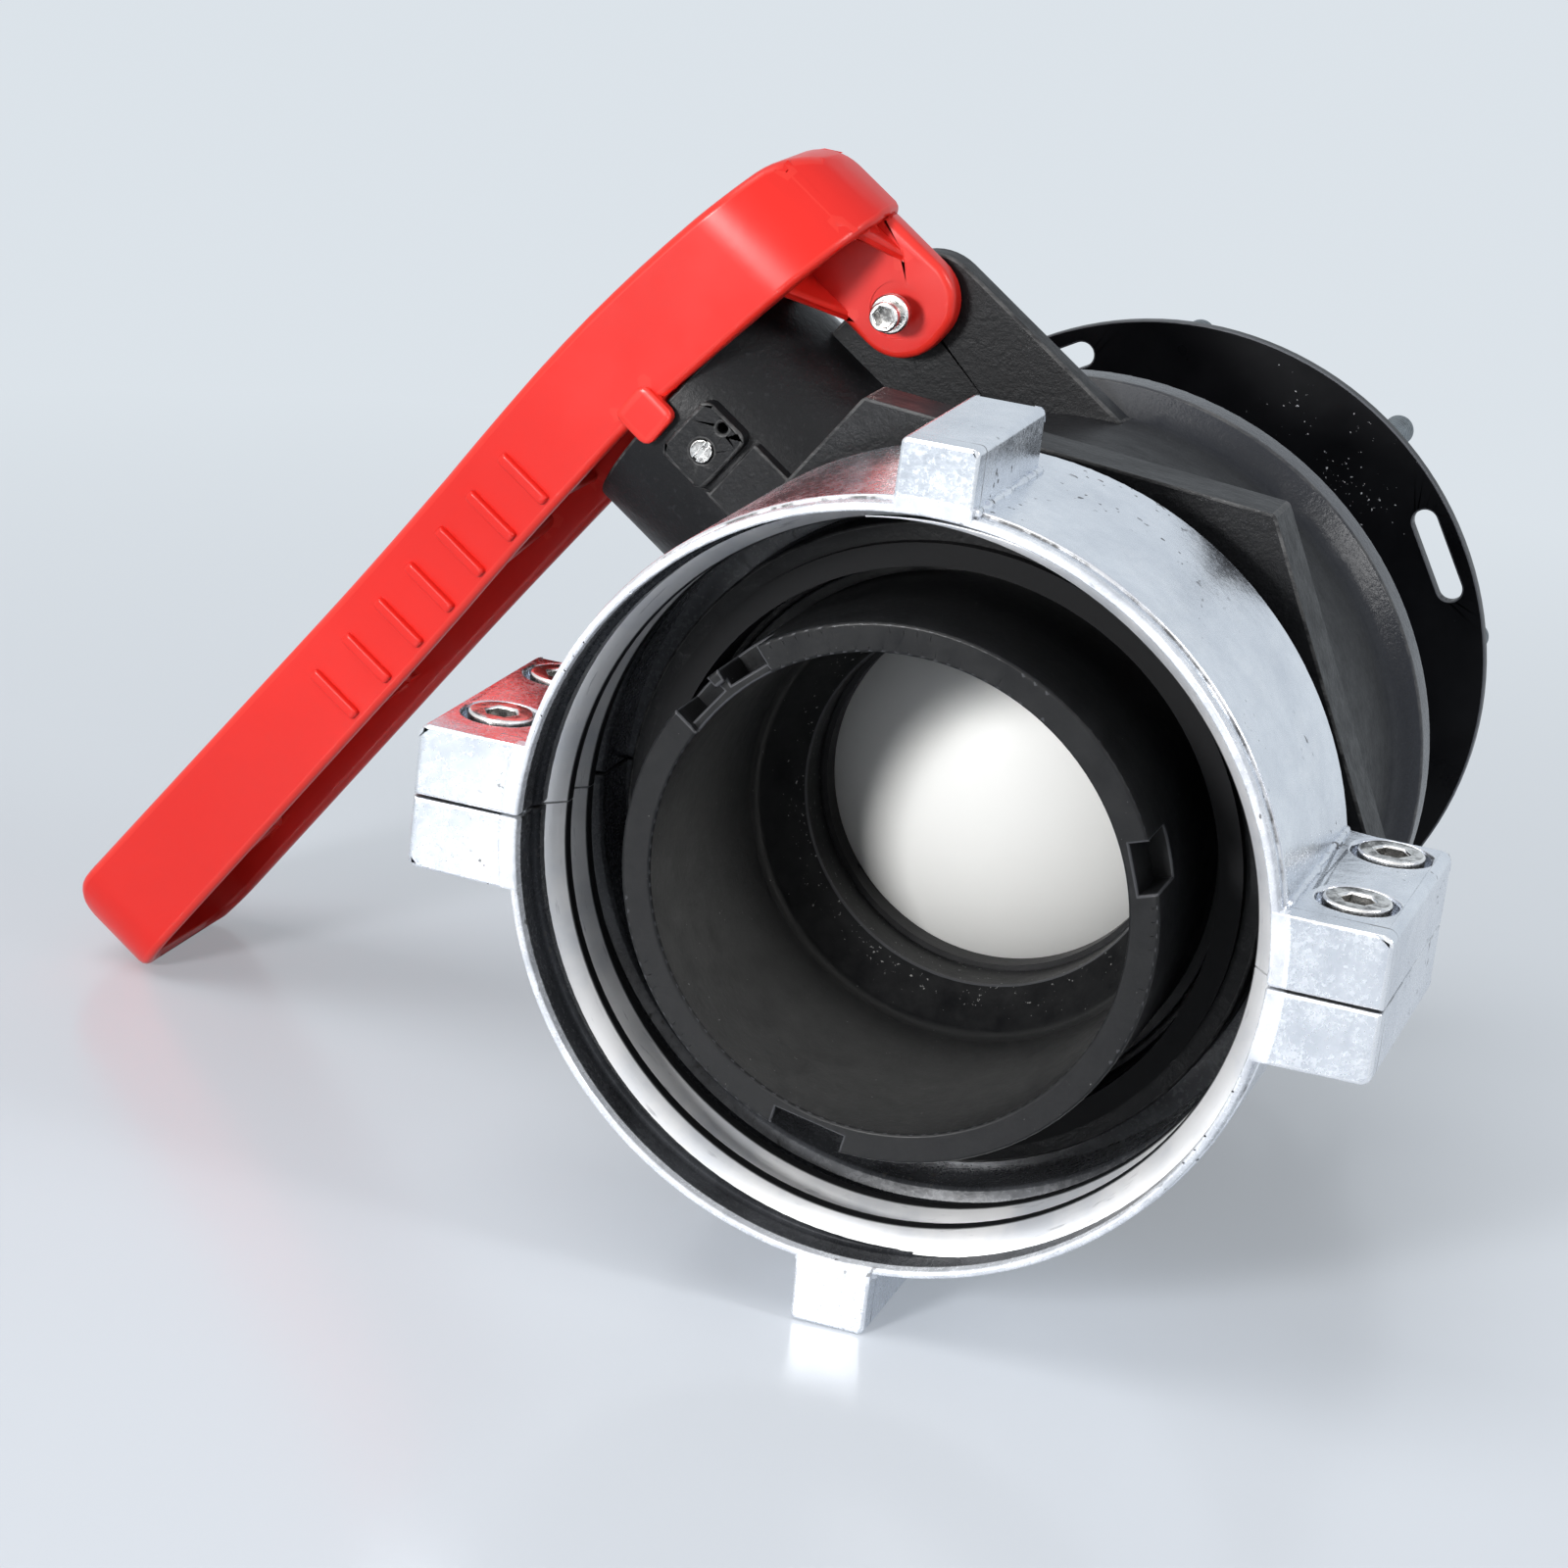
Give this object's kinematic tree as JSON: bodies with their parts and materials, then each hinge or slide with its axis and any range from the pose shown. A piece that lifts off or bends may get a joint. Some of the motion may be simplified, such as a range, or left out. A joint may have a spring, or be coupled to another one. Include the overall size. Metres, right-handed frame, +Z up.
{
  "type": "ibc ball valve",
  "caption": "Ball valve for a bulk container outlet, with a split threaded union nut, a quarter-turn lever with lock tab and a loose studded flange ring.",
  "frame": {"origin": "centre of the stud circle, in the sealing plane at the tank", "axes": "+Y along the flow axis towards the tank, so the mouth is at -Y; +Z up from the floor the valve lies on, with the stem leaning 53.7 degrees towards -X and the lever's tip on the floor"},
  "size_m": [0.2406, 0.189, 0.1591],
  "materials": {
    "body_black": "fine textured black moulding",
    "carrier_black": "smooth black moulding",
    "ball_white": "satin white",
    "seat_white": "smooth white seat plastic",
    "rubber_black": "soft black",
    "lever_red": "satin red moulding",
    "cast_aluminium": "bright die casting, slightly rough",
    "steel": "plated steel",
    "ring_black": "black coated sheet steel",
    "stud_grey": "dull grey steel"
  },
  "bodies": {
    "valve": {"valve_body": "body_black", "seat_carrier": "carrier_black", "carrier_o_ring": "rubber_black", "front_seat": "seat_white", "rear_seat": "seat_white", "gland_ring": "carrier_black", "neck_screw": "steel", "mouth_gasket": "rubber_black", "tail_adapter": "body_black", "tail_o_ring": "rubber_black", "tank_gasket": "rubber_black"},
    "union_nut": {"nut_upper_half": "cast_aluminium", "nut_lower_half": "cast_aluminium", "slip_ring": "carrier_black", "clamp_screw_1": "steel", "clamp_screw_2": "steel", "clamp_screw_3": "steel", "clamp_screw_4": "steel", "clamp_nut_1": "steel", "clamp_nut_2": "steel", "clamp_nut_3": "steel", "clamp_nut_4": "steel"},
    "lever_group": {"lever": "lever_red", "lever_washer": "steel", "lever_screw": "steel", "stem": "steel", "stem_o_ring_lower": "rubber_black", "stem_o_ring_upper": "rubber_black", "ball": "ball_white"},
    "lock_screw_body": {"lock_screw": "steel"},
    "tank_ring": {"flange_ring": "ring_black", "stud_1": "stud_grey", "stud_2": "stud_grey", "stud_3": "stud_grey", "stud_4": "stud_grey", "stud_5": "stud_grey", "stud_6": "stud_grey", "stud_7": "stud_grey", "stud_8": "stud_grey"}
  },
  "joints": [
    {"name": "nut_turn", "type": "hinge", "parent": "valve", "child": "union_nut", "pos_m": [0, -0.147, 0], "axis": [0, -1, 0], "continuous": true},
    {"name": "lever_turn", "type": "hinge", "parent": "valve", "child": "lever_group", "pos_m": [0, -0.077, 0], "axis": [0.8059, 0, -0.592], "range_deg": [0, 90]},
    {"name": "lock_screw_feed", "type": "slide", "parent": "lever_group", "child": "lock_screw_body", "axis": [0, 1, 0], "range_m": [0, 0.0028]},
    {"name": "ring_turn", "type": "hinge", "parent": "valve", "child": "tank_ring", "pos_m": [0, -0.00775, 0], "axis": [0, 1, 0], "continuous": true}
  ]
}
